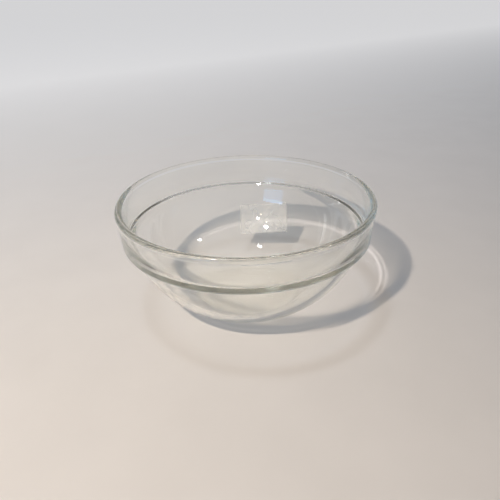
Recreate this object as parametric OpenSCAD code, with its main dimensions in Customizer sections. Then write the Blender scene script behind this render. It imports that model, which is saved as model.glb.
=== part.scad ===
// Stackable prep bowl of pressed clear glass, with a blank self-adhesive label
// on the outside of its back wall. It stands on the plane z = 0, its axis is
// the Z axis, and its front faces -Y. All sizes are in millimetres.

/* [Bowl] */
// Outer diameter at the rim
rim_d = 140; // [130:1:180]
// Height from the table to the top of the rim
bowl_h = 62; // [54:1:80]
// Diameter at which the flat base would meet the body without its rounding
base_d = 60; // [44:1:80]
// Rounding between the flat base and the body
base_round = 8; // [2:0.5:14]
// Wall thickness of the body
wall = 3; // [2:0.1:4.5]
// Thickness of the bottom
bottom_t = 4; // [2.5:0.1:8]
// Rounding inside, between the bottom and the wall
inside_round = 10; // [3:0.5:20]

/* [Collar and rim] */
// Depth of the stacking ledge below the top of the rim
collar_h = 19.1; // [16:0.1:24]
// How far the collar draws in from the rim to its lower edge, on the radius
collar_draw = 1.6; // [0.4:0.1:4]
// Width of the stacking ledge under the collar
ledge_w = 3.2; // [2.4:0.1:5]
// Rounding of the collar's lower edge
ledge_round = 0.9; // [0.4:0.1:1.4]
// Fillet in the crease between the ledge and the body
crease_round = 0.6; // [0.3:0.1:1]
// Thickness of the fully rounded rim
rim_t = 3.8; // [3:0.1:4.6]
// How far the rim stands out past the collar's outer face
bead_out = 0.4; // [0.1:0.05:0.8]
// Fillet in the hollow under the rim
bead_round = 0.8; // [0.4:0.1:1.5]
// How far inside the ledge's inner corner the curve of the collar's inner face passes
shoulder = 1.45; // [1:0.05:2]
// Height above the ledge at which the inside begins to turn in towards the body
step_h = 4.4; // [3:0.1:6]
// Radius at which the inside turns in
step_hollow = 10; // [6:0.5:14]
// Radius at which the inside turns back into line with the body
step_edge = 20; // [10:1:40]

/* [Label] */
// Width of the label
label_w = 32; // [15:0.5:45]
// Height of the label
label_h = 20; // [10:0.5:24]
// Corner radius of the label
label_corner = 1.5; // [0.5:0.1:4]
// Thickness of the label's face film
film_t = 0.12; // [0.08:0.01:0.3]
// Thickness of the adhesive under the film
adhesive_t = 0.06; // [0.04:0.01:0.2]
// Gap left between one layer and the next
layer_gap = 0.02; // [0.01:0.01:0.05]
// Direction of the label round the axis, from +Y towards +X, in degrees
label_azimuth = 12.5; // [-180:0.5:180]
// Distance along the body from the ledge down to the label's highest corner
label_clear = 11.5; // [3:0.5:14]
// Turn of the label in its own plane, anticlockwise as seen from inside, in degrees
label_turn = 7; // [-20:0.5:20]

/* [Hidden] */
$fn = 96;

// Largest turn between two points along the body, and along a small rounding
body_step = 2.5;
round_step = 9;

// Ledge level, the radii that meet it, and the edge of the base
ledge_z = bowl_h - collar_h;
collar_low_r = rim_d / 2 - collar_draw;
body_top_r = collar_low_r - ledge_w;
base_r = base_d / 2;

// The body is part of a sphere through the base's edge and the ledge's inner edge
body_cz = (pow(body_top_r, 2) + pow(ledge_z, 2) - pow(base_r, 2)) / (2 * ledge_z);
body_c = [0, body_cz];
body_r = norm([base_r, body_cz]);
inside_r = body_r - wall;

// The roundings at the bottom run tangent to the body and to a flat
base_c = tangent_inside(body_r, base_round, base_round);
inside_c = tangent_inside(inside_r, inside_round, bottom_t + inside_round);

// The fillet in the crease runs tangent to the ledge and to the body's outside
crease_c = tangent_inside(body_r, -crease_round, ledge_z - crease_round);

// The rim is a full round
rim_round = rim_t / 2;
rim_c = [rim_d / 2 - rim_round, bowl_h - rim_round];

// The collar's outer face leans out from its lower edge towards the rim. It passes
// the rim's centre at this distance, so that the rim stands out past it.
face_off = rim_round - bead_out;
collar_run = [collar_low_r, ledge_z] - rim_c;
collar_lean = atan2(-collar_run.y, collar_run.x) - acos(face_off / norm(collar_run));
edge_draw = ledge_round * (1 - sin(collar_lean)) / cos(collar_lean);
edge_c = [collar_low_r - edge_draw, ledge_z + ledge_round];

// The fillet under the rim runs tangent to the collar's outer face and to the rim
bead_turn = acos((face_off + bead_round) / (rim_round + bead_round));
bead_c = rim_c + (rim_round + bead_round) * heading(-collar_lean - bead_turn);

// The collar's inner face is upright at the rim and curves in below it, so that it passes
// the ledge's inner corner at the shoulder's distance. It runs down to where the inside
// turns in. Two more arcs then lead to the inside sphere without a corner.
inner_r = rim_d / 2 - rim_t;
corner_in = body_top_r - inner_r;
corner_deep = rim_c.y - ledge_z;
inner_curve = (pow(corner_deep, 2) + pow(corner_in, 2) - pow(shoulder, 2))
    / (2 * (shoulder - corner_in));
inner_c = [inner_r - inner_curve, rim_c.y];
inner_end = -asin((corner_deep - step_h) / inner_curve);
hollow_c = inner_c + (inner_curve - step_hollow) * heading(inner_end);
step_c = meeting(body_c, inside_r + step_edge, hollow_c, step_hollow + step_edge);

// Angle of the label's middle below the level of the body's centre: the ledge's own
// angle, and then the clearance and half of the turned label's height along the body
ledge_drop = asin((body_cz - ledge_z) / body_r);
label_half = (label_h * cos(label_turn) + label_w * abs(sin(label_turn))) / 2;
label_drop = ledge_drop + (label_clear + label_half) / body_r * 180 / PI;

// Radii of the label's layers, measured from the body's centre
adhesive_r = body_r + layer_gap;
film_r = adhesive_r + adhesive_t + layer_gap;
label_reach = film_r + film_t + 1;

// Facets round the label's spheres, so many that they keep well within the gap
label_facets = ceil(180 / acos(1 - layer_gap / (4 * label_reach)));

// Direction of a vector in the profile, in degrees
function bearing(v) = atan2(v.y, v.x);

// Unit vector in a direction of the profile
function heading(a) = [cos(a), sin(a)];

// The outer of the two points at these distances from a and from b
function meeting(a, reach_a, b, reach_b) =
    let (
        gap = b - a,
        unit = gap / norm(gap),
        along = (pow(reach_a, 2) - pow(reach_b, 2) + gap * gap) / (2 * norm(gap)),
        aside = sqrt(pow(reach_a, 2) - pow(along, 2))
    )
    a + along * unit + aside * [unit.y, -unit.x];

// Centre of a rounding at height z that touches the sphere of this radius
// round body_c: from inside, or from outside where the rounding is negative
function tangent_inside(radius, rounding, z) =
    [sqrt(pow(radius - rounding, 2) - pow(z - body_cz, 2)), z];

// Points of an arc about a centre, from one direction to another
function arc(centre, radius, from, to, step) =
    let (steps = ceil(abs(to - from) / step))
    [for (i = [0:steps])
        let (a = from + (to - from) * i / steps)
        centre + radius * heading(a)];

// Half of the bowl's section: up the outside, over the rim and down the inside
function glass_section() =
    let (
        base_edge = bearing(base_c - body_c),
        crease = bearing(crease_c - body_c),
        step_top = bearing(step_c - hollow_c),
        step_end = bearing(step_c - body_c),
        inside_edge = bearing(inside_c - body_c)
    )
    concat(
        [[0, 0]],
        arc(base_c, base_round, -90, base_edge, round_step),
        arc(body_c, body_r, base_edge, crease, body_step),
        arc(crease_c, crease_round, crease + 180, 90, round_step),
        arc(edge_c, ledge_round, -90, -collar_lean, round_step),
        arc(bead_c, bead_round, 180 - collar_lean, 180 - collar_lean - bead_turn, round_step),
        arc(rim_c, rim_round, -collar_lean - bead_turn, 180, round_step),
        arc(inner_c, inner_curve, 0, inner_end, body_step),
        arc(hollow_c, step_hollow, inner_end, step_top, body_step),
        arc(step_c, step_edge, step_top + 180, step_end + 180, body_step),
        arc(body_c, inside_r, step_end, inside_edge, body_step),
        arc(inside_c, inside_round, inside_edge, -90, round_step),
        [[0, bottom_t]]
    );

// The bowl, one piece of pressed glass
module glass_bowl() {
    color([0.86, 0.90, 0.86, 0.35])
        rotate_extrude($fn = 180)
            polygon(glass_section());
}

// Outline of the label, laid flat
module label_outline() {
    inner_w = label_w - 2 * label_corner;
    inner_h = label_h - 2 * label_corner;
    square([label_w, inner_h], center = true);
    square([inner_w, label_h], center = true);
    for (x = [-1, 1], y = [-1, 1])
        translate([x * inner_w / 2, y * inner_h / 2]) circle(label_corner);
}

// One layer of the label: a piece of a spherical shell, cut to the label's outline
module label_layer(radius, thickness) {
    translate([0, 0, body_cz])
        rotate([0, 0, -label_azimuth])
            rotate([-90 - label_drop, 0, 0])
                intersection() {
                    difference() {
                        sphere(radius + thickness, $fn = label_facets);
                        sphere(radius, $fn = label_facets);
                    }
                    rotate([0, 0, -label_turn])
                        linear_extrude(label_reach) label_outline();
                }
}

// The clear adhesive that holds the label's film to the glass
module label_adhesive() {
    color([0.93, 0.92, 0.88, 0.6])
        label_layer(adhesive_r, adhesive_t);
}

// The label's blank face film, white and partly see-through
module label_film() {
    color([0.94, 0.94, 0.93, 0.5])
        label_layer(film_r, film_t);
}

glass_bowl();
label_adhesive();
label_film();
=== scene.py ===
import math

import bpy
from mathutils import Matrix, Vector


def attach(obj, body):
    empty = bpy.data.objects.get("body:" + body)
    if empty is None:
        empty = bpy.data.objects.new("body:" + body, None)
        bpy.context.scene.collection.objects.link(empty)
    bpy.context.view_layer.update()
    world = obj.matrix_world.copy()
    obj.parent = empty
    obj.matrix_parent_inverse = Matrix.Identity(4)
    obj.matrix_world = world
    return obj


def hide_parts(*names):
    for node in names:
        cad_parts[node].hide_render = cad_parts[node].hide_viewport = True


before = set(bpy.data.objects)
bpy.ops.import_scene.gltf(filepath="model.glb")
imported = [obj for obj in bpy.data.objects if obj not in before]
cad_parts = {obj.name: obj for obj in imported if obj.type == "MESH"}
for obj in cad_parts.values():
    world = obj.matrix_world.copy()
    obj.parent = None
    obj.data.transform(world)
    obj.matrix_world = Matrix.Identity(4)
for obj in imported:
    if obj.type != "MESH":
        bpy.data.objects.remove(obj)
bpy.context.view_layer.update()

MM = 0.001

# Sizes of the bowl in millimetres, the same as the part's own
RIM_D = 140.0
BOWL_H = 62.0
BASE_D = 60.0
BASE_ROUND = 8.0
WALL = 3.0
BOTTOM_T = 4.0
INSIDE_ROUND = 10.0
COLLAR_H = 19.1
COLLAR_DRAW = 1.6
LEDGE_W = 3.2
LEDGE_ROUND = 0.9
CREASE_ROUND = 0.6
RIM_ROUND = 1.9
BEAD_OUT = 0.4
BEAD_ROUND = 0.8
SHOULDER = 1.45
STEP_H = 4.4
STEP_HOLLOW = 10.0
STEP_EDGE = 20.0

# Sizes of the label in millimetres and degrees
LABEL_W = 32.0
LABEL_H = 20.0
LABEL_CORNER = 1.5
FILM_T = 0.12
ADHESIVE_T = 0.06
LAYER_GAP = 0.02
LABEL_AZIMUTH = 12.5
LABEL_CLEAR = 11.5
LABEL_TURN = 7.0

# Fineness of the turned glass and of the label's sheet
TURN_STEPS = 288
CORNER_CELLS = 4
WIDTH_CELLS = 44
HEIGHT_CELLS = 28
BODY_STEP = math.radians(1.0)
ROUND_STEP = math.radians(5.0)

# Levels, radii and centres of the section, as (radius, height)
LEDGE_Z = BOWL_H - COLLAR_H
COLLAR_LOW_R = RIM_D / 2 - COLLAR_DRAW
BODY_TOP_R = COLLAR_LOW_R - LEDGE_W
BODY_CZ = (BODY_TOP_R ** 2 + LEDGE_Z ** 2 - (BASE_D / 2) ** 2) / (2 * LEDGE_Z)
BODY_C = Vector((0.0, BODY_CZ))
BODY_R = math.hypot(BASE_D / 2, BODY_CZ)
INSIDE_R = BODY_R - WALL


def bearing(v):
    """Direction of a vector in the section."""
    return math.atan2(v.y, v.x)


def heading(a):
    """Unit vector in a direction in the section."""
    return Vector((math.cos(a), math.sin(a)))


def meeting(a, reach_a, b, reach_b):
    """The outer of the two points at these distances from a and from b."""
    gap = b - a
    along = (reach_a ** 2 - reach_b ** 2 + gap.length_squared) / (2 * gap.length)
    aside = math.sqrt(reach_a ** 2 - along ** 2)
    unit = gap.normalized()
    return a + along * unit + aside * Vector((unit.y, -unit.x))


def touching(radius, rounding, z):
    """Centre at height z of a rounding that touches the sphere of this radius."""
    return Vector((math.sqrt((radius - rounding) ** 2 - (z - BODY_CZ) ** 2), z))


def arc(centre, radius, start, end, step):
    """Points of an arc about a centre, from one direction to another."""
    count = max(1, math.ceil(abs(end - start) / step))
    angles = [start + (end - start) * i / count for i in range(count + 1)]
    return [centre + radius * heading(a) for a in angles]


def glass_section():
    """Half of the bowl's section: up the outside, over the rim and down the inside."""
    base_c = touching(BODY_R, BASE_ROUND, BASE_ROUND)
    inside_c = touching(INSIDE_R, INSIDE_ROUND, BOTTOM_T + INSIDE_ROUND)
    crease_c = touching(BODY_R, -CREASE_ROUND, LEDGE_Z - CREASE_ROUND)
    rim_c = Vector((RIM_D / 2 - RIM_ROUND, BOWL_H - RIM_ROUND))

    # Outside: the collar's face runs up to a small hollow below the rim's bead
    face_off = RIM_ROUND - BEAD_OUT
    run = Vector((COLLAR_LOW_R, LEDGE_Z)) - rim_c
    lean = math.atan2(-run.y, run.x) - math.acos(face_off / run.length)
    edge_draw = LEDGE_ROUND * (1 - math.sin(lean)) / math.cos(lean)
    edge_c = Vector((COLLAR_LOW_R - edge_draw, LEDGE_Z + LEDGE_ROUND))
    bead = math.acos((face_off + BEAD_ROUND) / (RIM_ROUND + BEAD_ROUND))
    bead_c = rim_c + (RIM_ROUND + BEAD_ROUND) * heading(-lean - bead)

    # Inside: the collar is upright at the rim and curves in below it, past the ledge's inner
    # corner, to a hollow, and the step's edge leads on to the body
    inner_r = RIM_D / 2 - 2 * RIM_ROUND
    corner_in = BODY_TOP_R - inner_r
    corner_deep = rim_c.y - LEDGE_Z
    inner_curve = corner_deep ** 2 + corner_in ** 2 - SHOULDER ** 2
    inner_curve /= 2 * (SHOULDER - corner_in)
    inner_c = Vector((inner_r - inner_curve, rim_c.y))
    inner_end = -math.asin((corner_deep - STEP_H) / inner_curve)
    hollow_c = inner_c + (inner_curve - STEP_HOLLOW) * heading(inner_end)
    step_c = meeting(BODY_C, INSIDE_R + STEP_EDGE, hollow_c, STEP_HOLLOW + STEP_EDGE)
    step_top = bearing(step_c - hollow_c)
    step_end = bearing(step_c - BODY_C)

    base_edge = bearing(base_c - BODY_C)
    crease = bearing(crease_c - BODY_C)
    inside_edge = bearing(inside_c - BODY_C)
    quarter = math.pi / 2
    parts = [
        [Vector((0.0, 0.0))],
        arc(base_c, BASE_ROUND, -quarter, base_edge, ROUND_STEP),
        arc(BODY_C, BODY_R, base_edge, crease, BODY_STEP),
        arc(crease_c, CREASE_ROUND, crease + math.pi, quarter, 2 * ROUND_STEP),
        arc(edge_c, LEDGE_ROUND, -quarter, -lean, ROUND_STEP),
        arc(bead_c, BEAD_ROUND, math.pi - lean, math.pi - lean - bead, ROUND_STEP),
        arc(rim_c, RIM_ROUND, -lean - bead, math.pi, ROUND_STEP),
        arc(inner_c, inner_curve, 0.0, inner_end, BODY_STEP),
        arc(hollow_c, STEP_HOLLOW, inner_end, step_top, ROUND_STEP / 2),
        arc(step_c, STEP_EDGE, step_top + math.pi, step_end + math.pi, ROUND_STEP / 2),
        arc(BODY_C, INSIDE_R, step_end, inside_edge, BODY_STEP),
        arc(inside_c, INSIDE_ROUND, inside_edge, -quarter, ROUND_STEP),
        [Vector((0.0, BOTTOM_T))],
    ]
    section = []
    for part in parts:
        for point in part:
            if not section or (point - section[-1]).length > 1e-4:
                section.append(point)
    return section


def add_mesh(name, vertices, faces):
    """A smooth-shaded object from vertices and faces."""
    mesh = bpy.data.meshes.new(name)
    mesh.from_pydata([tuple(v) for v in vertices], [], faces)
    mesh.shade_smooth()
    mesh.update()
    piece = bpy.data.objects.new(name, mesh)
    bpy.context.scene.collection.objects.link(piece)
    return piece


def turned(name, section):
    """The solid that a section makes when it is turned round the Z axis."""
    vertices = []
    rings = []
    for point in section:
        if point.x < 1e-6:
            rings.append([len(vertices)] * TURN_STEPS)
            vertices.append(Vector((0.0, 0.0, point.y * MM)))
            continue
        rings.append(list(range(len(vertices), len(vertices) + TURN_STEPS)))
        for k in range(TURN_STEPS):
            a = 2 * math.pi * k / TURN_STEPS
            vertices.append(Vector((point.x * math.cos(a), point.x * math.sin(a), point.y)) * MM)
    faces = []
    for low, high in zip(rings, rings[1:]):
        for k in range(TURN_STEPS):
            j = (k + 1) % TURN_STEPS
            corners = [low[k], low[j], high[j], high[k]]
            faces.append(tuple(dict.fromkeys(corners)))
    return add_mesh(name, vertices, faces)


def label_frame():
    """Rotation from the label's flat outline to its place on the body."""
    ledge_drop = math.asin((BODY_CZ - LEDGE_Z) / BODY_R)
    turn = math.radians(LABEL_TURN)
    half = (LABEL_H * math.cos(turn) + LABEL_W * abs(math.sin(turn))) / 2
    drop = ledge_drop + (LABEL_CLEAR + half) / BODY_R
    around = Matrix.Rotation(-math.radians(LABEL_AZIMUTH), 3, "Z")
    down = Matrix.Rotation(-math.pi / 2 - drop, 3, "X")
    return around @ down @ Matrix.Rotation(-turn, 3, "Z")


def spread(size, cells):
    """Even grid positions across a side, with lines where its corner rounds begin."""
    half = size / 2
    inner = half - LABEL_CORNER
    low = [-half + LABEL_CORNER * i / CORNER_CELLS for i in range(CORNER_CELLS)]
    middle = [-inner + 2 * inner * i / cells for i in range(cells)]
    high = [inner + LABEL_CORNER * i / CORNER_CELLS for i in range(CORNER_CELLS + 1)]
    return low + middle + high


def rounded(x, y):
    """A point of the square-cornered grid, moved so that the corners come out round."""
    inner = Vector((LABEL_W / 2 - LABEL_CORNER, LABEL_H / 2 - LABEL_CORNER))
    u = (abs(x) - inner.x) / LABEL_CORNER
    v = (abs(y) - inner.y) / LABEL_CORNER
    if u <= 0 or v <= 0:
        return x, y
    rx = inner.x + LABEL_CORNER * u * math.sqrt(1 - v * v / 2)
    ry = inner.y + LABEL_CORNER * v * math.sqrt(1 - u * u / 2)
    return math.copysign(rx, x), math.copysign(ry, y)


def label_layer(name, radius, thickness):
    """One layer of the label: a closed sheet that follows the outside of the body."""
    xs = spread(LABEL_W, WIDTH_CELLS)
    ys = spread(LABEL_H, HEIGHT_CELLS)
    place = label_frame()
    centre = Vector((0.0, 0.0, BODY_CZ))
    vertices = []
    for r in (radius, radius + thickness):
        for y in ys:
            for x in xs:
                px, py = rounded(x, y)
                out = Vector((px, py, math.sqrt(r * r - px * px - py * py)))
                vertices.append((centre + place @ out) * MM)
    nx = len(xs)
    ny = len(ys)
    skin = nx * ny
    faces = []
    for j in range(ny - 1):
        for i in range(nx - 1):
            a = j * nx + i
            quad = (a, a + nx, a + nx + 1, a + 1)
            faces.append(quad)
            faces.append(tuple(skin + k for k in reversed(quad)))
    edge = list(range(nx))
    edge += [j * nx + nx - 1 for j in range(1, ny)]
    edge += [(ny - 1) * nx + i for i in range(nx - 2, -1, -1)]
    edge += [j * nx for j in range(ny - 2, 0, -1)]
    for a, b in zip(edge, edge[1:] + edge[:1]):
        faces.append((a, b, skin + b, skin + a))
    return add_mesh(name, vertices, faces)


class Nodes:
    """A material's node tree, built node by node."""

    def __init__(self, name):
        self.material = bpy.data.materials.new(name)
        self.material.use_nodes = True
        self.tree = self.material.node_tree
        self.shader = self.tree.nodes["Principled BSDF"]
        self.output = self.tree.nodes["Material Output"]

    def add(self, kind, **inputs):
        """A new node with its input values, or links, by socket name."""
        node = self.tree.nodes.new("ShaderNode" + kind)
        for socket, value in inputs.items():
            self.put(node.inputs[socket.replace("_", " ")], value)
        return node

    def put(self, socket, value):
        """Links an output to a socket, or sets the socket's own value."""
        if isinstance(value, bpy.types.NodeSocket):
            self.tree.links.new(value, socket)
        else:
            socket.default_value = value

    def noise(self, scale, detail=3.0, roughness=0.5):
        """Noise in the object's own coordinates, as a factor."""
        where = self.add("TexCoord").outputs["Object"]
        node = self.add("TexNoise", Vector=where, Scale=scale, Detail=detail, Roughness=roughness)
        return node.outputs["Fac"]

    def remap(self, value, given, wanted=(0.0, 1.0)):
        """A value moved from a given range to a wanted one, and kept inside it."""
        node = self.add("MapRange")
        for socket, number in enumerate((value, *given, *wanted)):
            self.put(node.inputs[socket], number)
        return node.outputs[0]

    def vector(self, operation, first, second=None):
        """A vector operation on one or two vectors."""
        node = self.add("VectorMath")
        node.operation = operation
        self.put(node.inputs[0], first)
        if second is not None:
            self.put(node.inputs[1], second)
        return node

    def mix(self, factor, first, second):
        """A mix of two colours by a factor."""
        node = self.add("Mix")
        node.data_type = "RGBA"
        for socket, value in ((0, factor), (6, first), (7, second)):
            self.put(node.inputs[socket], value)
        return node.outputs[2]

    def ramp(self, value, stops):
        """Colours along a factor, from (position, colour) pairs."""
        node = self.add("ValToRGB", Fac=value)
        elements = node.color_ramp.elements
        elements[0].position, elements[0].color = stops[0]
        elements[1].position, elements[1].color = stops[-1]
        for position, colour in stops[1:-1]:
            elements.new(position).color = colour
        return node.outputs["Color"]

    def bump(self, height, strength, distance):
        """A bump for the shader's normal, from a height factor."""
        node = self.add("Bump", Strength=strength, Distance=distance, Height=height)
        self.put(self.shader.inputs["Normal"], node.outputs["Normal"])

    def shade_with(self, shadow):
        """Lets another shader stand in where the lamps' light goes through."""
        either = self.add("MixShader")
        self.put(either.inputs[0], self.add("LightPath").outputs["Is Shadow Ray"])
        self.put(either.inputs[1], self.shader.outputs["BSDF"])
        self.put(either.inputs[2], shadow)
        self.put(self.output.inputs["Surface"], either.outputs["Shader"])


def let_through(value):
    """Colour of the light that glass or film lets through: the less, the warmer."""
    return (value ** 0.94, value, value ** 1.16, 1.0)


# Glass: what each surface lets through of the lamps' light, by how edge on it is, by height
# and by distance from the axis, both in millimetres. The rim and the collar scatter it, more
# so on the side far from the lamps and towards the rim. The step and the middle of the base
# gather it. SIDE_BLEND is the stretch across the axis, in metres, between the two sides.
THROUGH_EDGE = [(0.50, 1.0), (0.70, 0.65), (0.80, 0.10)]
THROUGH_NEAR = [(38.5, 1.0), (39.1, 2.0), (39.9, 2.0), (40.5, 0.86), (57.0, 0.86), (60.0, 0.45)]
THROUGH_FAR = [(38.5, 1.0), (39.1, 2.2), (39.9, 2.2), (40.5, 0.72), (45.0, 0.70), (49.0, 0.55),
               (57.0, 0.53), (60.0, 0.40)]
THROUGH_MIDDLE = [(6.0, 1.10), (20.0, 1.0)]
LAMP_SIDE = Vector((-0.54, -0.84, 0.0))
SIDE_BLEND = (-0.03, 0.03)
GLASS_IOR = 1.5
GLASS_TINT = (0.81, 0.80, 0.70, 1.0)
GLASS_DENSITY = 8.0
GLASS_COLOUR = (0.994, 1.0, 0.988, 1.0)


def glass_material():
    """Clear pressed glass: faintly green, a little wavy, with a trace of wiping marks."""
    nodes = Nodes("clear_glass")
    shader = nodes.shader
    shader.inputs["Base Color"].default_value = GLASS_COLOUR
    shader.inputs["Transmission Weight"].default_value = 1.0
    shader.inputs["IOR"].default_value = GLASS_IOR
    smears = nodes.noise(90.0, 4.0, 0.6)
    nodes.put(shader.inputs["Roughness"], nodes.remap(smears, (0.55, 0.8), (0.0, 0.02)))
    nodes.bump(nodes.noise(45.0, 1.0), 0.03, 0.002)
    facing = nodes.add("LayerWeight", Blend=0.5).outputs["Facing"]
    by_edge = nodes.ramp(facing, [(at, let_through(part)) for at, part in THROUGH_EDGE])
    where = nodes.add("TexCoord").outputs["Object"]
    height = nodes.add("SeparateXYZ", Vector=where).outputs["Z"]
    level = nodes.remap(height, (0.0, BOWL_H * MM))
    near, far = [nodes.ramp(level, [(z / BOWL_H, let_through(part)) for z, part in stops])
                 for stops in (THROUGH_NEAR, THROUGH_FAR)]
    side = nodes.vector("DOT_PRODUCT", where, LAMP_SIDE).outputs["Value"]
    by_height = nodes.mix(nodes.remap(side, SIDE_BLEND), far, near)
    flat = nodes.vector("MULTIPLY", where, Vector((1.0, 1.0, 0.0))).outputs["Vector"]
    radius = nodes.vector("LENGTH", flat).outputs["Value"]
    out = nodes.remap(radius, (0.0, RIM_D / 2 * MM))
    by_radius = nodes.ramp(out, [(2 * r / RIM_D, let_through(part)) for r, part in THROUGH_MIDDLE])
    through = nodes.vector("MULTIPLY", by_edge, by_height).outputs["Vector"]
    through = nodes.vector("MULTIPLY", through, by_radius).outputs["Vector"]
    clear = nodes.add("BsdfTransparent", Color=through)
    nodes.shade_with(clear.outputs["BSDF"])
    tint = nodes.add("VolumeAbsorption", Color=GLASS_TINT, Density=GLASS_DENSITY)
    nodes.put(nodes.output.inputs["Volume"], tint.outputs["Volume"])
    return nodes.material


# Label film: what it lets through of the lamps' light at each of its two faces, and how its
# colour and opacity follow its cloudiness
FILM_THROUGH = 0.44
FILM_CLOUD = (0.3, 0.75)
FILM_COLOURS = [(0.82, 0.86, 0.93, 1.0), (0.91, 0.93, 0.97, 1.0)]
FILM_ALPHA = (0.24, 0.36)


def film_material():
    """The label's thin pale face film: mostly see-through, with faint fibres."""
    nodes = Nodes("label_film")
    shader = nodes.shader
    fibres = nodes.noise(900.0, 6.0, 0.7)
    cloud = nodes.noise(120.0, 3.0)
    colour = nodes.ramp(cloud, list(zip(FILM_CLOUD, FILM_COLOURS)))
    nodes.put(shader.inputs["Base Color"], colour)
    nodes.put(shader.inputs["Roughness"], nodes.remap(fibres, (0.2, 0.8), (0.35, 0.6)))
    nodes.put(shader.inputs["Alpha"], nodes.remap(cloud, FILM_CLOUD, FILM_ALPHA))
    nodes.bump(fibres, 0.15, 0.0002)
    nodes.shade_with(nodes.add("BsdfTransparent", Color=let_through(FILM_THROUGH)).outputs["BSDF"])
    return nodes.material


def adhesive_material():
    """Clear adhesive with faint milky patches where it hasn't wetted the glass."""
    nodes = Nodes("label_adhesive")
    shader = nodes.shader
    patches = nodes.noise(160.0, 4.0, 0.6)
    colour = nodes.ramp(patches, [(0.35, (0.80, 0.80, 0.78, 1.0)), (0.7, (0.92, 0.92, 0.90, 1.0))])
    nodes.put(shader.inputs["Base Color"], colour)
    nodes.put(shader.inputs["Roughness"], nodes.remap(patches, (0.3, 0.7), (0.15, 0.4)))
    nodes.put(shader.inputs["Alpha"], nodes.remap(patches, (0.45, 0.7), (0.02, 0.12)))
    nodes.bump(nodes.noise(420.0, 2.0), 0.1, 0.0002)
    return nodes.material


# Table: painted room light, a glow in its own surface that grows towards its back left and far
# from the bowl, from 0 to its full strength between two distances in metres
GLOW_COLOUR = (1.0, 0.985, 0.975, 1.0)
GLOW_FULL = 0.53
GLOW_SIDE = Vector((-0.55, 0.83, 0.0))
GLOW_BACK = (-0.2, 0.8)
GLOW_FAR = (0.7, 2.5)


def table_material():
    """A plain pale table top with a slight mottle, and a painted glow of room light that grows
    towards its back left and away from the bowl.
    """
    nodes = Nodes("table")
    shader = nodes.shader
    where = nodes.add("TexCoord").outputs["Object"]
    back = nodes.vector("DOT_PRODUCT", where, GLOW_SIDE).outputs["Value"]
    far = nodes.vector("LENGTH", where).outputs["Value"]
    glow = nodes.add("Math")
    glow.operation = "MAXIMUM"
    nodes.put(glow.inputs[0], nodes.remap(back, GLOW_BACK, (0.0, GLOW_FULL)))
    nodes.put(glow.inputs[1], nodes.remap(far, GLOW_FAR, (0.0, GLOW_FULL)))
    # Painted light: the table top glows, brighter towards its back left and far from the bowl
    nodes.put(shader.inputs["Emission Color"], GLOW_COLOUR)
    nodes.put(shader.inputs["Emission Strength"], glow.outputs["Value"])
    nodes.material.cycles.emission_sampling = "NONE"
    mottle = nodes.noise(22.0, 4.0)
    colour = nodes.ramp(mottle, [(0.3, (0.70, 0.69, 0.68, 1.0)), (0.7, (0.73, 0.72, 0.71, 1.0))])
    nodes.put(shader.inputs["Base Color"], colour)
    nodes.put(shader.inputs["Roughness"], nodes.remap(nodes.noise(60.0), (0.3, 0.7), (0.5, 0.62)))
    nodes.bump(nodes.noise(700.0, 3.0), 0.05, 0.0003)
    return nodes.material


def add_piece(piece, node, material):
    """Gives a piece its material and its place in the part."""
    piece.data.materials.append(material)
    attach(piece, "root")
    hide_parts(node)


# The table top: half its width, and its level just below the base, in metres
FLOOR_HALF = 30.0
FLOOR_Z = -0.0003


def add_floor():
    """The table the bowl stands on."""
    half = FLOOR_HALF
    z = FLOOR_Z
    corners = [(-half, -half, z), (half, -half, z), (half, half, z), (-half, half, z)]
    floor = add_mesh("floor", corners, [(0, 1, 2, 3)])
    floor.data.materials.append(table_material())


def add_lamp(name, place, size, watts, colour, turn):
    """A flat soft lamp that looks from its place into the bowl, turned about that line. Its
    light counts only before it has bounced off a dull surface."""
    lamp = bpy.data.lights.new(name, "AREA")
    lamp.shape = "RECTANGLE"
    lamp.size, lamp.size_y = size
    lamp.energy = watts
    lamp.color = colour
    lamp.use_nodes = True
    tree = lamp.node_tree
    light_path = tree.nodes.new("ShaderNodeLightPath")
    direct = tree.nodes.new("ShaderNodeMath")
    direct.operation = "LESS_THAN"
    direct.inputs[1].default_value = 0.5
    tree.links.new(direct.inputs[0], light_path.outputs["Diffuse Depth"])
    tree.links.new(tree.nodes["Emission"].inputs["Strength"], direct.outputs[0])
    holder = bpy.data.objects.new(name, lamp)
    holder.location = place
    look = (LAMP_AIM - place).to_track_quat("-Z", "Y").to_matrix()
    holder.rotation_euler = (look @ Matrix.Rotation(math.radians(turn), 3, "Z")).to_euler()
    bpy.context.scene.collection.objects.link(holder)
    return holder


def direction(azimuth, elevation):
    """A direction from the object: azimuth 0 is the front, and positive goes to the right."""
    a = math.radians(azimuth)
    e = math.radians(elevation)
    return Vector((math.sin(a) * math.cos(e), -math.cos(a) * math.cos(e), math.sin(e)))


# The room: its light on the table, cooler from low down than from above, what the glass
# shows of it, from its dim back to its cool front under a pale ceiling, and the plain
# backdrop behind the table
ROOM_LOW = (0.075, 0.135, 0.265, 1.0)
ROOM_HIGH = (0.108, 0.113, 0.119, 1.0)
LOW_TO, HIGH_FROM = 0.35, 0.75
ROOM_DIM = (0.09, 0.082, 0.075, 1.0)
ROOM_COOL = (0.48, 0.50, 0.52, 1.0)
ROOM_CEILING = (0.44, 0.43, 0.42, 1.0)
BACKDROP = (0.55, 0.55, 0.56, 1.0)
ROOM_SIDE = Vector((0.30, -0.95, 0.0)).normalized()
SIDE_FROM, SIDE_TO = -0.2, 0.8
CEILING_FROM, CEILING_TO = 0.55, 0.85


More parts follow.
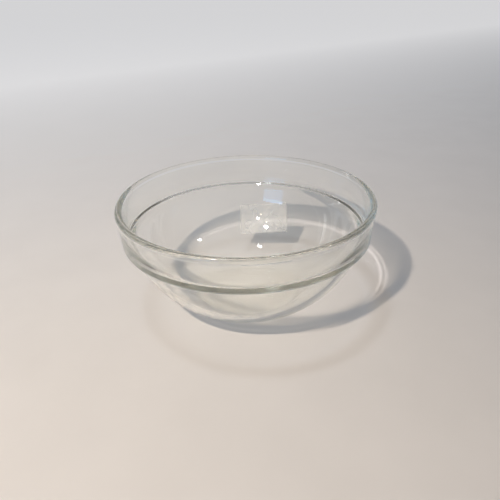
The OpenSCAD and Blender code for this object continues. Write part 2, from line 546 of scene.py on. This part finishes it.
def add_world():
    """A room that lights the table evenly and shows its sides in the glass."""
    world = bpy.data.worlds.new("room")
    bpy.context.scene.world = world
    world.use_nodes = True
    nodes = world.node_tree.nodes
    links = world.node_tree.links
    where = nodes.new("ShaderNodeTexCoord").outputs["Generated"]

    def share(value, low, high):
        """Where a value is between two bounds, from 0 to 1."""
        node = nodes.new("ShaderNodeMapRange")
        node.interpolation_type = "SMOOTHSTEP"
        links.new(value, node.inputs[0])
        for socket, number in zip((1, 2, 3, 4), (low, high, 0.0, 1.0)):
            node.inputs[socket].default_value = number
        return node.outputs[0]

    def blend(factor, first, second):
        """A mix of two colours, each a value or a link."""
        node = nodes.new("ShaderNodeMix")
        node.data_type = "RGBA"
        links.new(factor, node.inputs["Factor"])
        for socket, colour in ((6, first), (7, second)):
            if isinstance(colour, bpy.types.NodeSocket):
                links.new(colour, node.inputs[socket])
            else:
                node.inputs[socket].default_value = colour
        return node.outputs[2]

    side = nodes.new("ShaderNodeVectorMath")
    side.operation = "DOT_PRODUCT"
    side.inputs[1].default_value = ROOM_SIDE
    links.new(where, side.inputs[0])
    height = nodes.new("ShaderNodeSeparateXYZ")
    links.new(where, height.inputs[0])
    walls = blend(share(side.outputs["Value"], SIDE_FROM, SIDE_TO), ROOM_DIM, ROOM_COOL)
    room = blend(share(height.outputs["Z"], CEILING_FROM, CEILING_TO), walls, ROOM_CEILING)
    light = blend(share(height.outputs["Z"], LOW_TO, HIGH_FROM), ROOM_LOW, ROOM_HIGH)
    ray = nodes.new("ShaderNodeLightPath").outputs
    seen = blend(ray["Is Camera Ray"], room, BACKDROP)
    links.new(blend(ray["Is Diffuse Ray"], seen, light), nodes["Background"].inputs["Color"])


# Lamps: azimuth and elevation in degrees, distance and sizes in metres, watts, colour, and
# turn in degrees. They look at a point in the bowl, in metres.
LAMP_AIM = Vector((0.0, 0.0, 0.03))
WARM = (1.0, 0.83, 0.655)
PALE = (0.88, 0.95, 1.0)
BLUE = (0.25, 0.55, 1.0)
WHITE = (1.0, 1.0, 1.0)
LAMPS = {
    "key": (-33.0, 48.8, 0.66, (0.022, 0.022), 3.0, WARM, 0.0),
    "second": (-21.0, 41.5, 0.80, (0.03, 0.02), 0.3, WARM, 0.0),
    "overhead": (-98.0, 80.2, 1.60, (0.12, 0.12), 2.7, PALE, 0.0),
}

# Spots: lamps of the same kind that only show as highlights on the glass
SPOTS = {
    "key_spot": (-36.0, 54.5, 0.66, (0.035, 0.035), 2.0, WHITE, 0.0),
    "second_spot": (-18.0, 47.0, 0.80, (0.05, 0.03), 0.25, WHITE, 0.0),
    "overhead_spot": (-50.0, 75.0, 0.80, (0.07, 0.03), 0.25, WHITE, 0.0),
    "right_spot": (87.0, 45.0, 0.80, (0.04, 0.04), 0.25, WHITE, 0.0),
    "strip": (-111.0, 17.5, 0.90, (0.38, 0.02), 0.16, WHITE, -35.0),
    "window": (-32.0, 13.0, 1.20, (0.45, 0.48), 1.0, BLUE, 0.0),
    "window_bar": (-33.0, 25.5, 1.20, (0.45, 0.06), 0.32, BLUE, 0.0),
}


def add_lamps():
    """The lamps that light the table, and the spots that the glass mirrors."""
    for name, values in {**LAMPS, **SPOTS}.items():
        azimuth, elevation, distance, *rest = values
        place = LAMP_AIM + direction(azimuth, elevation) * distance
        lamp = add_lamp(name, place, *rest)
        lamp.visible_diffuse = name in LAMPS
        lamp.visible_glossy = name in SPOTS


# Camera, fitted to the rim, the ledge and the body in the photograph, with its sensor and
# lens in millimetres
CAMERA_SENSOR = 36.0
CAMERA_LENS = 36.0
CAMERA_PLACE = Vector((0.0, -0.2521, 0.1679))
CAMERA_PAN = math.radians(0.352)
CAMERA_TILT = math.radians(29.031)
CAMERA_ROLL = math.radians(-1.555)


def add_camera():
    """The camera, at the photograph's place and angle."""
    data = bpy.data.cameras.new("camera")
    data.sensor_width = CAMERA_SENSOR
    data.lens = CAMERA_LENS
    pan, tilt, roll = CAMERA_PAN, CAMERA_TILT, CAMERA_ROLL
    level = math.cos(tilt)
    ahead = Vector((math.sin(pan) * level, math.cos(pan) * level, -math.sin(tilt)))
    right = Vector((math.cos(pan), -math.sin(pan), 0.0))
    up = right.cross(ahead)
    side = math.cos(roll) * right + math.sin(roll) * up
    top = math.cos(roll) * up - math.sin(roll) * right
    turn = Matrix((side, top, -ahead)).transposed().to_4x4()
    turn.translation = CAMERA_PLACE
    camera = bpy.data.objects.new("camera", data)
    camera.matrix_world = turn
    bpy.context.scene.collection.objects.link(camera)
    bpy.context.scene.camera = camera


bowl = turned("bowl_glass", glass_section())
adhesive_r = BODY_R + LAYER_GAP
film_r = adhesive_r + ADHESIVE_T + LAYER_GAP
adhesive = label_layer("label_adhesive_sheet", adhesive_r, ADHESIVE_T)
film = label_layer("label_film_sheet", film_r, FILM_T)
add_piece(bowl, "glass_bowl", glass_material())
add_piece(adhesive, "label_adhesive", adhesive_material())
add_piece(film, "label_film", film_material())

add_floor()
add_world()
add_lamps()
add_camera()

# Light needs many bounces to leave the rim and the ledge
GLASS_BOUNCES = 128
CLEAR_BOUNCES = 32

scene = bpy.context.scene
scene.view_settings.view_transform = "Standard"
scene.cycles.max_bounces = GLASS_BOUNCES
scene.cycles.transmission_bounces = GLASS_BOUNCES
scene.cycles.glossy_bounces = GLASS_BOUNCES
scene.cycles.transparent_max_bounces = CLEAR_BOUNCES
scene.cycles.caustics_reflective = False
scene.cycles.use_denoising = True
